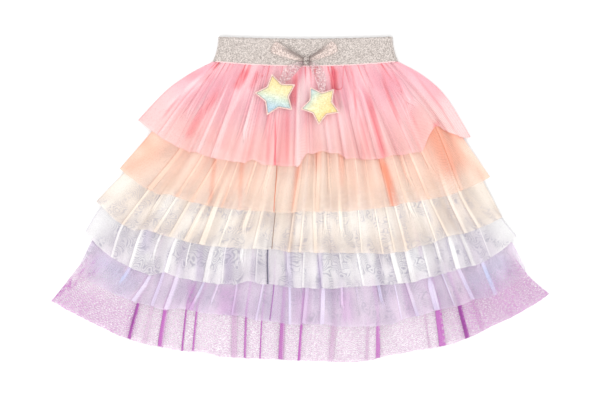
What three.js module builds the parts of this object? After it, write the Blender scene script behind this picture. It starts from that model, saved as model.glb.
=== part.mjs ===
// A child's tiered tulle skirt, laid flat on its back: a glitter elastic waistband, a long base net
// with five shorter tiers sewn on it front and back, a tied ribbon bow and two padded stars.
// Millimetres. X runs across the skirt, Y from the hem to the waist, Z up from the surface below.
import * as THREE from "three";

// Cloth: the wall of one tulle panel, and the gap between pieces that are sewn or lie together.
const TULLE = 1.0;
const GAP = 0.3;

// The elastic band, pressed flat. Its ends rise a little, and it widens towards the skirt.
const BAND = {
  centreX: 6,
  topHalf: 96,
  bottomHalf: 102,
  topY: 176.6,
  bottomY: 146.6,
  topRise: 2.2,
  bottomRise: 5.2,
  wall: 1.4,
  thickness: 4.9,
  stripes: 4,
  flatSteps: 14,
  endSteps: 5,
};

// Tiers from the waist down. hem: the hem's Y at the middle. left and right: the hem's side tips.
// power: how late the hem turns up. leftIn and rightIn: from each tip to the edge of the next tier.
// top: the row that the tier is sewn at. puff: how far the tier stands off the one below, at most.
const TIERS = [
  { name: "pink", hem: 38, leftX: -178.5, leftY: 87, rightX: 188.3, rightY: 68,
    power: 3.2, leftIn: 15.5, rightIn: 9, top: "waist", puff: 3.0, color: 0xf7b3bf },
  { name: "peach", hem: -14, leftX: -198.7, leftY: 33.6, rightX: 209.7, rightY: 24.2,
    power: 3.0, leftIn: 5, rightIn: 8, top: "yoke", puff: 2.0, color: 0xfbc9b0 },
  { name: "cream", hem: -58.5, leftX: -224.6, leftY: -2.4, rightX: 223, rightY: -20,
    power: 3.0, leftIn: 6, rightIn: 1.5, top: "pink", puff: 1.6, color: 0xfbe9da },
  { name: "mint", hem: -96.5, leftX: -236.7, leftY: -35.8, rightX: 239, rightY: -41.8,
    power: 3.8, leftIn: 8, rightIn: 6, top: "peach", puff: 1.4, color: 0xe6e6e8 },
  { name: "blue", hem: -137, leftX: -247.5, leftY: -80.3, rightX: 248.5, rightY: -75,
    power: 3.0, leftIn: 1.2, rightIn: 1.2, top: "cream", puff: 1.2, color: 0xcdc9ea },
  { name: "base", hem: -178, leftX: -274.7, leftY: -112.9, rightX: 275, rightY: -104.9,
    power: 2.6, leftIn: 0, rightIn: 0, top: "waist", puff: 0, color: 0xdfb0dd },
];

// Rows of points from the waist down. The last six are the tiers' hems. share: how far a row above
// the first hem lies from the waist to that hem. growth: how much of a fold's height it has.
const ROWS = [
  { name: "waist", share: 0, growth: 0.15 },
  { name: "upper", share: 0.3, growth: 0.5 },
  { name: "yoke", share: 0.6, growth: 0.75 },
  { name: "pink", growth: 1 },
  { name: "peach", growth: 1 },
  { name: "cream", growth: 1 },
  { name: "mint", growth: 1 },
  { name: "blue", growth: 1 },
  { name: "base", growth: 0.9 },
];
const FIRST_HEM = 3;

// Folds from left to right. at: the crest, as a share of the panel's width. front and back: its
// height there, as a share of the fold height. Then how far it lifts (or drops) each tier's hem, in mm.
const FOLDS = [
  { at: 0.03, front: 0.7, back: 0.8, pink: -1, peach: -4, cream: -6, mint: -4, blue: 0, base: 1.5 },
  { at: 0.095, front: 1.0, back: 0.6, pink: 1, peach: 1, cream: 1.5, mint: -3, blue: 1, base: 1 },
  { at: 0.165, front: 0.8, back: 1.0, pink: 0, peach: 0, cream: 3, mint: 5, blue: 2.5, base: -1 },
  { at: 0.235, front: 1.1, back: 0.7, pink: 0, peach: 0, cream: 2, mint: 3, blue: 8.5, base: 1 },
  { at: 0.3, front: 0.75, back: 0.9, pink: 4, peach: 0, cream: 3, mint: 1.5, blue: 7, base: 3.5 },
  { at: 0.37, front: 1.0, back: 0.6, pink: -1, peach: 0, cream: 3, mint: 6, blue: 7, base: 1 },
  { at: 0.435, front: 0.85, back: 0.8, pink: -2, peach: -1, cream: 3, mint: 2.5, blue: 2.5, base: 1 },
  { at: 0.5, front: 1.1, back: 0, pink: 12, peach: 1, cream: 0, mint: -1, blue: -1, base: 0 },
  { at: 0.555, front: 0.7, back: 0.9, pink: 15, peach: 0, cream: -0.5, mint: -2, blue: -1, base: -1 },
  { at: 0.61, front: 0.95, back: 0.7, pink: 12, peach: 0, cream: -1, mint: -0.5, blue: -4, base: -3 },
  { at: 0.675, front: 1.0, back: 1.0, pink: 6, peach: 1, cream: -2, mint: 0.5, blue: -5, base: 0.5 },
  { at: 0.74, front: 0.75, back: 0.6, pink: 4, peach: 2, cream: -4.5, mint: 0.5, blue: -0.5, base: 1 },
  { at: 0.81, front: 1.1, back: 0.8, pink: 6, peach: 4, cream: -1, mint: 3, blue: 1, base: -1.5 },
  { at: 0.885, front: 0.8, back: 1.0, pink: 5, peach: 2.5, cream: 3, mint: 3, blue: -2, base: 1 },
  { at: 0.965, front: 1.0, back: 0.7, pink: 27, peach: 0.5, cream: 0, mint: -1, blue: -9, base: 0 },
];
const FRONT_FOLD = 5.5; // a fold's height at the hems, on the front
const BACK_FOLD = 2.2; // the same on the back, which the skirt's weight presses flat
const FRONT_WAVE = { flank: 0.55, farFlank: 0.5 };
const BACK_WAVE = { flank: 0, farFlank: 0.6 }; // half of each fold rests flat
const SIDE_COLUMNS = 5; // the five edges of the shorter tiers, on each side
const SIDE_STEP = 5.5;
const WAIST_STEP = 2;
const LEFT_BULGE = 6; // the first tier's sides bow outwards
const RIGHT_BULGE = 11;
const STEEPEST = 0.6; // a wall's vertical thickness grows on a slope down to this cosine

// Columns from edge to edge: the fold that each one belongs to and the next one on its side, its
// place, its share of the crest, and its waves. The side columns have no next fold.
const lerp = THREE.MathUtils.lerp;
const columns = [];
const sideColumn = (fold, at) => ({ fold, at, share: 0, front: 0, back: 0 });
for (let k = 0; k <= SIDE_COLUMNS; k++) columns.push(sideColumn(0, 0));
FOLDS.forEach((fold, k) => {
  const before = k ? (FOLDS[k - 1].at + fold.at) / 2 : 0;
  const last = k === FOLDS.length - 1;
  const after = last ? 1 : (fold.at + FOLDS[k + 1].at) / 2;
  const [previous, next] = [Math.max(k - 1, 0), last ? k : k + 1];
  const add = (at, neighbour, share, front, back) =>
    columns.push({ fold: k, next: neighbour, at, share, front: front * fold.front, back: back * fold.back });
  add((before + fold.at) / 2, previous, 0.6, FRONT_WAVE.flank, BACK_WAVE.flank);
  add(fold.at, next, 1, 1, 1);
  add((fold.at + after) / 2, next, 0.6, FRONT_WAVE.farFlank, BACK_WAVE.farFlank);
  if (!last) add(after, next, 0, 0, 0);
});
for (let k = 0; k <= SIDE_COLUMNS; k++) columns.push(sideColumn(FOLDS.length - 1, 1));
const LAST = columns.length - 1;

// How far column i lifts the hem of tier k. A trough hangs as low as the lower of its two folds,
// and along the side columns the last fold's lift fades out to the tip.
function hemLift(i, k) {
  const { fold, next, share } = columns[i];
  const lift = (n) => FOLDS[n][TIERS[k].name];
  const toTip = Math.min(i, LAST - i) - k;
  if (next === undefined) return (0.8 * lift(fold) * toTip) / Math.max(1, SIDE_COLUMNS - k);
  return lerp(Math.min(lift(fold), lift(next)), lift(fold), share);
}

function bandEdge(x, edge) {
  const across = (x - BAND.centreX) / BAND[edge + "Half"];
  return BAND[edge + "Y"] + BAND[edge + "Rise"] * across * across;
}

// A column's X on a row from tip to tip, whose outermost column is number first.
function columnX(i, first, left, right, step) {
  const place = (n, inset) => (n === first ? 0 : inset + (n - first - 1) * step);
  if (i <= SIDE_COLUMNS) return left.x + place(i, left.inset);
  if (i >= LAST - SIDE_COLUMNS) return right.x - place(LAST - i, right.inset);
  const from = left.x + place(SIDE_COLUMNS, left.inset);
  const to = right.x - place(SIDE_COLUMNS, right.inset);
  return lerp(from, to, columns[i].at);
}

function waistPoint(i) {
  const tip = (side) => ({ x: BAND.centreX + side * BAND.bottomHalf, inset: WAIST_STEP });
  const x = columnX(i, 0, tip(-1), tip(1), WAIST_STEP);
  return { x, y: bandEdge(x, "bottom") - GAP };
}

function hemPoint(i, k) {
  const tier = TIERS[k];
  const left = { x: tier.leftX, inset: tier.leftIn };
  const right = { x: tier.rightX, inset: tier.rightIn };
  const x = columnX(i, k, left, right, SIDE_STEP);
  const middle = (tier.leftX + tier.rightX) / 2;
  const half = (tier.rightX - tier.leftX) / 2;
  const tipY = x < middle ? tier.leftY : tier.rightY;
  const rise = Math.abs((x - middle) / half) ** tier.power;
  return { x, y: tier.hem + (tipY - tier.hem) * rise + hemLift(i, k) };
}

// The place of column i on row r, from above.
function planPoint(i, r) {
  if (r >= FIRST_HEM) return hemPoint(i, r - FIRST_HEM);
  const [waist, hem, share] = [waistPoint(i), hemPoint(i, 0), ROWS[r].share];
  const side = (2 * i) / LAST - 1;
  const bulge = (side < 0 ? LEFT_BULGE : RIGHT_BULGE) * side ** 8 * Math.sin(Math.PI * share);
  const x = lerp(waist.x, hem.x, share) + Math.sign(side) * bulge * 0.5;
  return { x, y: lerp(waist.y, hem.y, share) + bulge };
}

const plan = ROWS.map((row, r) => columns.map((column, i) => planPoint(i, r)));

// The panels from the surface upwards: the back's tiers, both base nets, then the front's tiers.
const rowOf = (name) => ROWS.findIndex((row) => row.name === name);
const panelsOf = (side, tiers) =>
  tiers.map((tier) => {
    const k = TIERS.indexOf(tier);
    return { name: `${tier.name}_${side}`, side, tier, first: k, last: LAST - k,
      top: rowOf(tier.top), hem: rowOf(tier.name) };
  });
const panels = [...panelsOf("back", TIERS), ...panelsOf("front", [...TIERS].reverse())];
const covers = (panel, i, r) =>
  i >= panel.first && i <= panel.last && r >= panel.top && r <= panel.hem;

// A panel's own stand-off at a point: the back's lowest panel and the front's base net carry the
// folds, and each front tier also puffs out in the middle of its length.
function standOff(panel, i, r, lowest) {
  const column = columns[i];
  const { growth } = ROWS[r];
  if (panel.side === "back") return lowest ? BACK_FOLD * column.back * growth : 0;
  if (panel.tier.name === "base") return FRONT_FOLD * column.front * growth;
  const along = (r - panel.top) / (panel.hem - panel.top);
  const uneven = 0.6 + 0.4 * Math.cos(i * 1.7 + panel.hem * 2.1);
  const inside = i > panel.first && i < panel.last ? 1 : 0;
  return inside * panel.tier.puff * growth * uneven * (0.35 + 0.65 * Math.sin(Math.PI * along * 0.75));
}

// The cosine of a surface's slope at a point, from its neighbours.
function cosine(height, panel, i, r) {
  const at = (a, b) => {
    const n = THREE.MathUtils.clamp(a, panel.first, panel.last);
    const m = THREE.MathUtils.clamp(b, panel.top, panel.hem);
    return new THREE.Vector3(plan[m][n].x, plan[m][n].y, height[m][n]);
  };
  const across = at(i + 1, r).sub(at(i - 1, r));
  const down = at(i, r + 1).sub(at(i, r - 1));
  return Math.abs(down.cross(across).normalize().z);
}

const emptyHeights = () => ROWS.map(() => new Array(columns.length).fill(0));
const pile = emptyHeights(); // the top of all that lies below, at each point
const layers = emptyHeights();
for (const panel of panels) {
  panel.bottom = emptyHeights();
  panel.crown = emptyHeights();
  for (let r = panel.top; r <= panel.hem; r++)
    for (let i = panel.first; i <= panel.last; i++) {
      const lowest = layers[r][i] === 0;
      const lie = lowest ? 0 : pile[r][i] + GAP;
      panel.bottom[r][i] = lie + standOff(panel, i, r, lowest);
    }
  for (let r = panel.top; r <= panel.hem; r++)
    for (let i = panel.first; i <= panel.last; i++) {
      const slope = Math.max(cosine(panel.bottom, panel, i, r), STEEPEST);
      panel.crown[r][i] = panel.bottom[r][i] + TULLE / slope;
      pile[r][i] = panel.crown[r][i];
      layers[r][i] += 1;
    }
}

// A closed wall from two grids of points, [row][column], with rows running down and columns right.
// Its cells are split by one diagonal, and from column number turn by the other.
function wallSolid(lower, upper, turn = Infinity) {
  const [rows, across] = [lower.length, lower[0].length];
  const positions = [...lower.flat(), ...upper.flat()].flatMap((p) => [p.x, p.y, p.z]);
  const index = [];
  const low = (r, i) => r * across + i;
  const high = (r, i) => rows * across + low(r, i);
  const quad = (a, b, c, d) => index.push(a, b, c, a, c, d);
  for (let r = 0; r < rows - 1; r++)
    for (let i = 0; i < across - 1; i++) {
      const cell = (at) => [at(r, i), at(r + 1, i), at(r + 1, i + 1), at(r, i + 1)];
      const [a, b, c, d] = cell(high);
      const [e, f, g, h] = cell(low);
      if (i < turn) {
        quad(a, b, c, d);
        quad(e, h, g, f);
      } else {
        quad(b, c, d, a);
        quad(f, e, h, g);
      }
    }
  for (let r = 0; r < rows - 1; r++) {
    quad(high(r, 0), low(r, 0), low(r + 1, 0), high(r + 1, 0));
    quad(low(r, across - 1), high(r, across - 1), high(r + 1, across - 1), low(r + 1, across - 1));
  }
  for (let i = 0; i < across - 1; i++) {
    quad(low(0, i), high(0, i), high(0, i + 1), low(0, i + 1));
    quad(high(rows - 1, i), low(rows - 1, i), low(rows - 1, i + 1), high(rows - 1, i + 1));
  }
  return geometryOf(positions, index);
}

function geometryOf(positions, index) {
  const geometry = new THREE.BufferGeometry();
  geometry.setAttribute("position", new THREE.Float32BufferAttribute(positions, 3));
  geometry.setIndex(index);
  return geometry;
}

// A closed wall round an open tube. point(step, row, inner) gives both of its surfaces. Its steps run
// anticlockwise for an eye that looks from the last row towards the first.
function tubeSolid(steps, rows, point) {
  const positions = [];
  const index = [];
  for (const inner of [false, true])
    for (let r = 0; r < rows; r++)
      for (let s = 0; s < steps; s++) positions.push(...point(s, r, inner).toArray());
  const at = (s, r, inner) => (inner ? rows * steps : 0) + r * steps + (s % steps);
  const quad = (a, b, c, d) => index.push(a, b, c, a, c, d);
  for (let s = 0; s < steps; s++) {
    for (let r = 0; r < rows - 1; r++) {
      quad(at(s, r), at(s + 1, r), at(s + 1, r + 1), at(s, r + 1));
      quad(at(s, r, true), at(s, r + 1, true), at(s + 1, r + 1, true), at(s + 1, r, true));
    }
    quad(at(s, 0), at(s, 0, true), at(s + 1, 0, true), at(s + 1, 0));
    quad(at(s, rows - 1), at(s + 1, rows - 1), at(s + 1, rows - 1, true), at(s, rows - 1, true));
  }
  return geometryOf(positions, index);
}

// The waistband: a flattened loop of elastic, from its upper edge to its lower one.
function bandSolid() {
  const { flatSteps, endSteps, thickness, wall, stripes, centreX, topHalf, bottomHalf } = BAND;
  const radius = thickness / 2;
  const half = flatSteps + endSteps;
  const point = (s, r, inner) => {
    const up = 1 - r / stripes;
    const reach = topHalf + (bottomHalf - topHalf) * (1 - up) ** 2 - radius;
    const front = s < half;
    const n = front ? s : s - half;
    const turn = n <= flatSteps ? 0 : (n - flatSteps) / endSteps;
    const along = n <= flatSteps ? 1 - (2 * n) / flatSteps : -1;
    const size = inner ? radius - wall : radius;
    const angle = Math.PI / 2 + Math.PI * turn;
    const side = front ? 1 : -1;
    const x = centreX + side * (reach * along + size * Math.cos(angle));
    const z = radius + side * size * Math.sin(angle);
    return new THREE.Vector3(x, lerp(bandEdge(x, "bottom"), bandEdge(x, "top"), up), z);
  };
  return tubeSolid(2 * half, stripes + 1, point);
}

// The bow: two loops of ribbon on the band, a knot on its lower edge, and two tails that end
// behind the upper valley of the stars. Angles in degrees from X.
const RIBBON = 0.8;
const KNOT = { x: 7, y: 152.2, wide: 8.5, high: 10.5, deep: 5.5 };
const LOOP = { clear: 5, knotHalf: 2.6, outerHalf: 7, knotRise: 1.3, rise: 2.6, steps: 20, rows: 4 };
const LOOPS = [
  { name: "bow_loop_left", angle: 155, length: 34 },
  { name: "bow_loop_right", angle: 27, length: 33 },
];
const STAR = { valley: 0.575, round: 0.08, rim: 0.9, border: 0.88, dome: 3.4, deep: 4.5 };
const STARS = [
  { name: "star_left", x: -26.1, y: 113.9, radius: 24.4, tip: 101.4, tail: "tail_left" },
  { name: "star_right", x: 22.6, y: 103.7, radius: 22.9, tip: 120.9, tail: "tail_right" },
];
const TAIL = { start: 2.4, under: 0.4, rows: 9, across: 4, ripple: 0.6 };
const TAILS = [
  { name: "tail_left", angle: 203, reach: 15, valley: 65.4, arrive: 14, wide: [4.5, 11, 12, 6.5] },
  { name: "tail_right", angle: 330, reach: 9, valley: 84.9, arrive: 22, wide: [4.5, 10, 12, 6.5] },
];

const radians = THREE.MathUtils.degToRad;
const polar = (angle, length) => new THREE.Vector2(length, 0).rotateAround(new THREE.Vector2(), radians(angle));

// The height of what already lies at a place, seen from above.
const ray = new THREE.Raycaster();
const down = new THREE.Vector3(0, 0, -1);
function heightAt(x, y) {
  ray.set(new THREE.Vector3(x, y, 100), down);
  const hit = ray.intersectObjects(skirt.children, false)[0];
  return hit ? hit.point.z : 0;
}
const heightUnder = (places) => Math.max(...places.map(([x, y]) => heightAt(x, y)));

function loopSolid({ angle, length }) {
  const out = polar(angle, 1);
  const middle = LOOP.clear + length / 2;
  const floor = BAND.thickness + GAP + LOOP.rise;
  const point = (s, r, inner) => {
    const turn = (2 * Math.PI * s) / LOOP.steps;
    const wall = inner ? RIBBON : 0;
    const outward = (1 + Math.cos(turn)) / 2;
    const along = middle + (length / 2 - wall) * Math.cos(turn);
    const rise = lerp(LOOP.knotRise, LOOP.rise, outward ** 0.5) - wall;
    const side = 1 - (r / (LOOP.rows - 1)) * 2;
    const across = side * lerp(LOOP.knotHalf, LOOP.outerHalf, outward ** 0.6);
    const x = KNOT.x + out.x * along - out.y * across;
    const y = KNOT.y + out.y * along + out.x * across;
    return new THREE.Vector3(x, y, floor + rise * Math.sin(turn));
  };
  return tubeSolid(LOOP.steps, LOOP.rows, point);
}

function knotSolid() {
  const geometry = new THREE.SphereGeometry(0.5, 14, 10);
  geometry.scale(KNOT.wide, KNOT.high, KNOT.deep);
  const base = heightUnder([-1, 0, 1].map((k) => [KNOT.x + 2 * k, KNOT.y - 3])) + RIBBON + 2 * GAP;
  geometry.translate(KNOT.x, KNOT.y, base + KNOT.deep / 2);
  return geometry;
}

// The corners of a star's outline, with blunt tips and valleys.
function starOutline({ radius, tip }) {
  const corner = (n) => polar(tip + 36 * n, n % 2 ? radius * STAR.valley : radius);
  const outline = [];
  for (let n = 0; n < 10; n++)
    for (const t of [STAR.round, 0.5, 1 - STAR.round]) outline.push(corner(n).lerp(corner(n + 1), t));
  return outline;
}

function starHeight(star) {
  const outline = starOutline(star);
  const places = outline.map((p) => [star.x + p.x * 0.9, star.y + p.y * 0.9]);
  const inner = outline.map((p) => [star.x + p.x * 0.4, star.y + p.y * 0.4]);
  return heightUnder([...places, ...inner]) + GAP + STAR.deep;
}

// A star: a sewn rim all round, and a stuffed dome on both faces.
function starSolid(star) {
  const outline = starOutline(star);
  const rings = [
    [0.35, -STAR.deep + 0.3],
    [0.7, -STAR.dome],
    [STAR.border, -STAR.rim],
    [1, -STAR.rim],
    [1, STAR.rim],
    [STAR.border, STAR.rim],
    [0.7, STAR.dome],
    [0.35, STAR.deep - 0.3],
  ];
  const middle = starHeight(star);
  const positions = [star.x, star.y, middle - STAR.deep];
  for (const [size, z] of rings)
    for (const p of outline) positions.push(star.x + size * p.x, star.y + size * p.y, middle + z);
  positions.push(star.x, star.y, middle + STAR.deep);
  const count = outline.length;
  const at = (ring, n) => 1 + ring * count + (n % count);
  const end = 1 + rings.length * count;
  const index = [];
  for (let n = 0; n < count; n++) {
    index.push(0, at(0, n + 1), at(0, n));
    for (let ring = 0; ring < rings.length - 1; ring++) {
      index.push(at(ring, n), at(ring, n + 1), at(ring + 1, n + 1));
      index.push(at(ring, n), at(ring + 1, n + 1), at(ring + 1, n));
    }
    index.push(end, at(rings.length - 1, n), at(rings.length - 1, n + 1));
  }
  return geometryOf(positions, index);
}

// A tail: a strip of ribbon from beneath the knot to beneath the star's rim, over what lies there.
function tailSolid({ name, angle, reach, valley, arrive, wide }) {
  const star = STARS.find((each) => each.tail === name);
  const knot = new THREE.Vector2(KNOT.x, KNOT.y - 1);
  const centre = new THREE.Vector2(star.x, star.y);
  const start = polar(angle, TAIL.start).add(knot);
  const end = polar(valley, star.radius * STAR.valley - TAIL.under).add(centre);
  const out = polar(angle, reach).add(start);
  const back = polar(valley, arrive).add(end);
  const path = new THREE.CubicBezierCurve(start, out, back, end);
  const widths = new THREE.SplineCurve(wide.map((w, n) => new THREE.Vector2(n, w)));
  const high = starHeight(star) - STAR.rim - GAP - RIBBON;
  const grid = (lift) =>
    Array.from({ length: TAIL.rows }, (_, r) => {
      const t = r / (TAIL.rows - 1);
      const [centreLine, tangent] = [path.getPoint(t), path.getTangent(t)];
      const place = (i) => {
        const across = (i / TAIL.across - 0.5) * widths.getPoint(t).y;
        return [centreLine.x - tangent.y * across, centreLine.y + tangent.x * across];
      };
      const lie = heightUnder(Array.from({ length: TAIL.across + 1 }, (__, i) => place(i))) + GAP;
      const rise = Math.max(0, (t - 0.55) / 0.45) ** 1.5;
      return Array.from({ length: TAIL.across + 1 }, (__, i) => {
        const wave = TAIL.ripple * Math.sin(Math.PI * t) * (i % 2);
        const [x, y] = place(i);
        return { x, y, z: lerp(lie, high, rise) + wave + lift };
      });
    });
  return wallSolid(grid(0), grid(RIBBON));
}

function material(color, roughness = 0.75, metalness = 0) {
  return new THREE.MeshStandardMaterial({ color, roughness, metalness });
}

function meshOf(name, geometry, finish) {
  const mesh = new THREE.Mesh(geometry, finish);
  mesh.name = name;
  return mesh;
}

const skirt = new THREE.Group();
const glitter = material(0xbfb8b4, 0.45, 0.35);
const ribbon = material(0xc9bfc0, 0.5, 0.25);
const starCloth = material(0xf3efba, 0.6);

for (const panel of panels) {
  const grid = (heights) =>
    plan.slice(panel.top, panel.hem + 1).map((row, n) =>
      row.slice(panel.first, panel.last + 1).map((p, m) => {
        return { ...p, z: heights[panel.top + n][panel.first + m] };
      }),
    );
  const geometry = wallSolid(grid(panel.bottom), grid(panel.crown), LAST / 2 - panel.first);
  skirt.add(meshOf(panel.name, geometry, material(panel.tier.color)));
}
skirt.add(meshOf("waistband", bandSolid(), glitter));

// The bow and the stars lie on the skirt, so all of them are shaped before any is added.
const trimmings = [
  ...LOOPS.map((loop) => meshOf(loop.name, loopSolid(loop), ribbon)),
  meshOf("bow_knot", knotSolid(), ribbon),
  ...TAILS.map((tail) => meshOf(tail.name, tailSolid(tail), ribbon)),
  ...STARS.map((star) => meshOf(star.name, starSolid(star), starCloth)),
];
skirt.add(...trimmings);

// The origin goes to the middle of the footprint, on the surface that the skirt lies on.
const box = new THREE.Box3().setFromObject(skirt);
const middle = box.getCenter(new THREE.Vector3());
skirt.position.set(-middle.x, -middle.y, -box.min.z);

export default skirt;
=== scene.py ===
"""A child's tiered tulle skirt with a glitter waistband, a ribbon bow and two padded stars, laid flat."""
import math
import random

import bpy
from mathutils import Matrix, Vector, kdtree
from mathutils.bvhtree import BVHTree


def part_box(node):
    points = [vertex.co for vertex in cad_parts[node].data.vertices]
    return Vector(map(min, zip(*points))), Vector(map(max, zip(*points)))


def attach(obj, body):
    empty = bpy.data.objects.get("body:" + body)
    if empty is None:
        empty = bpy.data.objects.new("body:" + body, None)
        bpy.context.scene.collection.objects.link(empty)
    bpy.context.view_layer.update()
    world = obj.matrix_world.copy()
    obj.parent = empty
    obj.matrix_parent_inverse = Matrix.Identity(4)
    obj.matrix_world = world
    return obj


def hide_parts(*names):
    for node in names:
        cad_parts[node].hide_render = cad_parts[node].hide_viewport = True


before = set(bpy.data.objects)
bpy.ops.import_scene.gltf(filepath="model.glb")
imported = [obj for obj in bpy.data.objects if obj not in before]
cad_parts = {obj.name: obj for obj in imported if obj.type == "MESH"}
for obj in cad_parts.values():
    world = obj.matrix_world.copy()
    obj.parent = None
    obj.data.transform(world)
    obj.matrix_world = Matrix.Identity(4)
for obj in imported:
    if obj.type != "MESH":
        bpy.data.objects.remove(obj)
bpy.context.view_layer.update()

# Sizes are in millimetres, before the model's shift to the middle of its footprint.
SHIFT = (-0.15, 0.765)
# The width of a pixel, the picture's size, and the pixel where the plan has its origin.
PIXEL = 1.1
PICTURE_SIZE = (600, 400)
PICTURE_MIDDLE = (300, 199)


def metres(x, y, z):
    return Vector((x + SHIFT[0], y + SHIFT[1], z)) / 1000


def picture_x(pixel):
    return (pixel - PICTURE_MIDDLE[0]) * PIXEL


def lerp(a, b, t):
    return a + (b - a) * t


def clamp(value, low=0, high=1):
    return min(high, max(low, value))


def smooth(low, high, value):
    t = clamp((value - low) / (high - low))
    return t * t * (3 - 2 * t)


# Cloth pieces lie this far apart in the solids.
GAP = 0.3

# The skirt's plan, as it is cut and laid in the solids.
BAND = {"centre": 6, "top_half": 96, "bottom_half": 102, "top_y": 176.6, "bottom_y": 146.6,
        "top_rise": 2.2, "bottom_rise": 5.2, "thickness": 4.9, "wall": 1.4}
# Each tier's hem at the middle, its side tips, each with how far in the next tier's edge lies, how late
# the hem turns up, and the rows of the plan that the tier is sewn at and ends on.
TIER_COLUMNS = ("hem", "left", "right", "power", "top", "row")
TIER_ROWS = {
    "pink": (38, (-178.5, 87, 15.5), (188.3, 68, 9), 3.2, 0, 3),
    "peach": (-14, (-198.7, 33.6, 5), (209.7, 24.2, 8), 3.0, 2, 4),
    "cream": (-58.5, (-224.6, -2.4, 6), (223, -20, 1.5), 3.0, 3, 5),
    "mint": (-96.5, (-236.7, -35.8, 8), (239, -41.8, 6), 3.8, 4, 6),
    "blue": (-137, (-247.5, -80.3, 1.2), (248.5, -75, 1.2), 3.0, 5, 7),
    "base": (-178, (-274.7, -112.9, 0), (275, -104.9, 0), 2.6, 0, 8),
}
TIERS = {name: dict(zip(TIER_COLUMNS, row)) for name, row in TIER_ROWS.items()}
NAMES = list(TIERS)
# The rows above the first hem, as shares of the way down to it.
UPPER_ROWS = (0, 0.3, 0.6)
# The large folds: where each is across a hem, and how far it lifts each tier's hem.
FOLD_AT = (0.03, 0.095, 0.165, 0.235, 0.3, 0.37, 0.435, 0.5, 0.555, 0.61, 0.675, 0.74, 0.81, 0.885, 0.965)
FOLD_LIFT = {
    "pink": (-1, 1, 0, 0, 4, -1, -2, 12, 15, 12, 6, 4, 6, 5, 27),
    "peach": (-4, 1, 0, 0, 0, 0, -1, 1, 0, 0, 1, 2, 4, 2.5, 0.5),
    "cream": (-6, 1.5, 3, 2, 3, 3, 3, 0, -0.5, -1, -2, -4.5, -1, 3, 0),
    "mint": (-4, -3, 5, 3, 1.5, 6, 2.5, -1, -2, -0.5, 0.5, 0.5, 3, 3, -1),
    "blue": (0, 1, 2.5, 8.5, 7, 7, 2.5, -1, -1, -4, -5, -0.5, 1, -2, -9),
    "base": (1.5, 1, -1, 1, 3.5, 1, 1, 0, -1, -3, 0.5, 1, -1.5, 1, 0),
}
SIDE_COLUMNS = 5
SIDE_STEP = 5.5
WAIST_STEP = 2
BULGE = {"left": 6, "right": 11}

# The columns of the plan: where each is, its fold, the fold beside it, and how much its own one counts.
columns = [(0, 0, None, 0)] * (SIDE_COLUMNS + 1)
for k, at in enumerate(FOLD_AT):
    last = k == len(FOLD_AT) - 1
    before = (FOLD_AT[k - 1] + at) / 2 if k else 0
    after = 1 if last else (at + FOLD_AT[k + 1]) / 2
    following = k if last else k + 1
    columns += [((before + at) / 2, k, max(k - 1, 0), 0.6), (at, k, following, 1)]
    columns.append(((at + after) / 2, k, following, 0.6))
    if not last:
        columns.append((after, k, following, 0))
columns += [(1, len(FOLD_AT) - 1, None, 0)] * (SIDE_COLUMNS + 1)
LAST = len(columns) - 1


def hem_lift(i, k):
    lifts = FOLD_LIFT[NAMES[k]]
    _, fold, beside, share = columns[i]
    if beside is None:
        to_tip = min(i, LAST - i) - k
        return 0.8 * lifts[fold] * to_tip / max(1, SIDE_COLUMNS - k)
    return lerp(min(lifts[fold], lifts[beside]), lifts[fold], share)


def polar(angle, length):
    angle = math.radians(angle)
    return Vector((length * math.cos(angle), length * math.sin(angle)))


def band_edge(x, edge):
    across = (x - BAND["centre"]) / BAND[edge + "_half"]
    return BAND[edge + "_y"] + BAND[edge + "_rise"] * across * across


def column_x(i, first, left, right, step):
    def place(n, inset):
        return 0 if n == first else inset + (n - first - 1) * step

    if i <= SIDE_COLUMNS:
        return left[0] + place(i, left[1])
    if i >= LAST - SIDE_COLUMNS:
        return right[0] - place(LAST - i, right[1])
    start = left[0] + place(SIDE_COLUMNS, left[1])
    end = right[0] - place(SIDE_COLUMNS, right[1])
    return lerp(start, end, columns[i][0])


def waist_point(i):
    left = (BAND["centre"] - BAND["bottom_half"], WAIST_STEP)
    right = (BAND["centre"] + BAND["bottom_half"], WAIST_STEP)
    x = column_x(i, 0, left, right, WAIST_STEP)
    return x, band_edge(x, "bottom") - GAP


def hem_point(i, k):
    tier = TIERS[NAMES[k]]
    (left_x, left_y, left_in), (right_x, right_y, right_in) = tier["left"], tier["right"]
    x = column_x(i, k, (left_x, left_in), (right_x, right_in), SIDE_STEP)
    middle, half = (left_x + right_x) / 2, (right_x - left_x) / 2
    tip_y = left_y if x < middle else right_y
    rise = abs((x - middle) / half) ** tier["power"]
    return x, tier["hem"] + (tip_y - tier["hem"]) * rise + hem_lift(i, k)


def plan_point(i, r):
    if r >= len(UPPER_ROWS):
        return hem_point(i, r - len(UPPER_ROWS))
    waist, hem, share = waist_point(i), hem_point(i, 0), UPPER_ROWS[r]
    side = 2 * i / LAST - 1
    bulge = BULGE["left" if side < 0 else "right"] * side**8 * math.sin(math.pi * share)
    x = lerp(waist[0], hem[0], share) + math.copysign(bulge * 0.5, side)
    return x, lerp(waist[1], hem[1], share) + bulge


PLAN_ROWS = len(UPPER_ROWS) + len(NAMES)
PLAN = [[plan_point(i, r) for i in range(LAST + 1)] for r in range(PLAN_ROWS)]


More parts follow.
